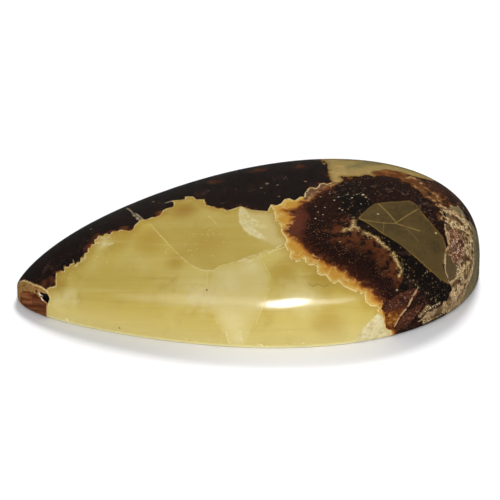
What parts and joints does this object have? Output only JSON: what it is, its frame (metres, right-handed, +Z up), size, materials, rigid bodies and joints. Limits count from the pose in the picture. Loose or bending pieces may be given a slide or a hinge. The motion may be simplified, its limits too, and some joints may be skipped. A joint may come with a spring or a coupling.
{
  "type": "pear-cut calcite cabochon",
  "caption": "Polished pear-shaped cabochon of banded calcite, with a flat back, a low upright girdle and a smooth dome highest near the round end.",
  "frame": {"origin": "middle of the bounding box, on the flat back", "axes": "+X along the stone's length towards the round end, +Y across it, +Z up from the back through the dome"},
  "size_m": [0.038, 0.0228, 0.0074],
  "materials": {
    "banded_calcite": "polished, honey yellow with dark brown bands"
  },
  "bodies": {
    "root": {"pear_cabochon": "banded_calcite"}
  },
  "joints": []
}
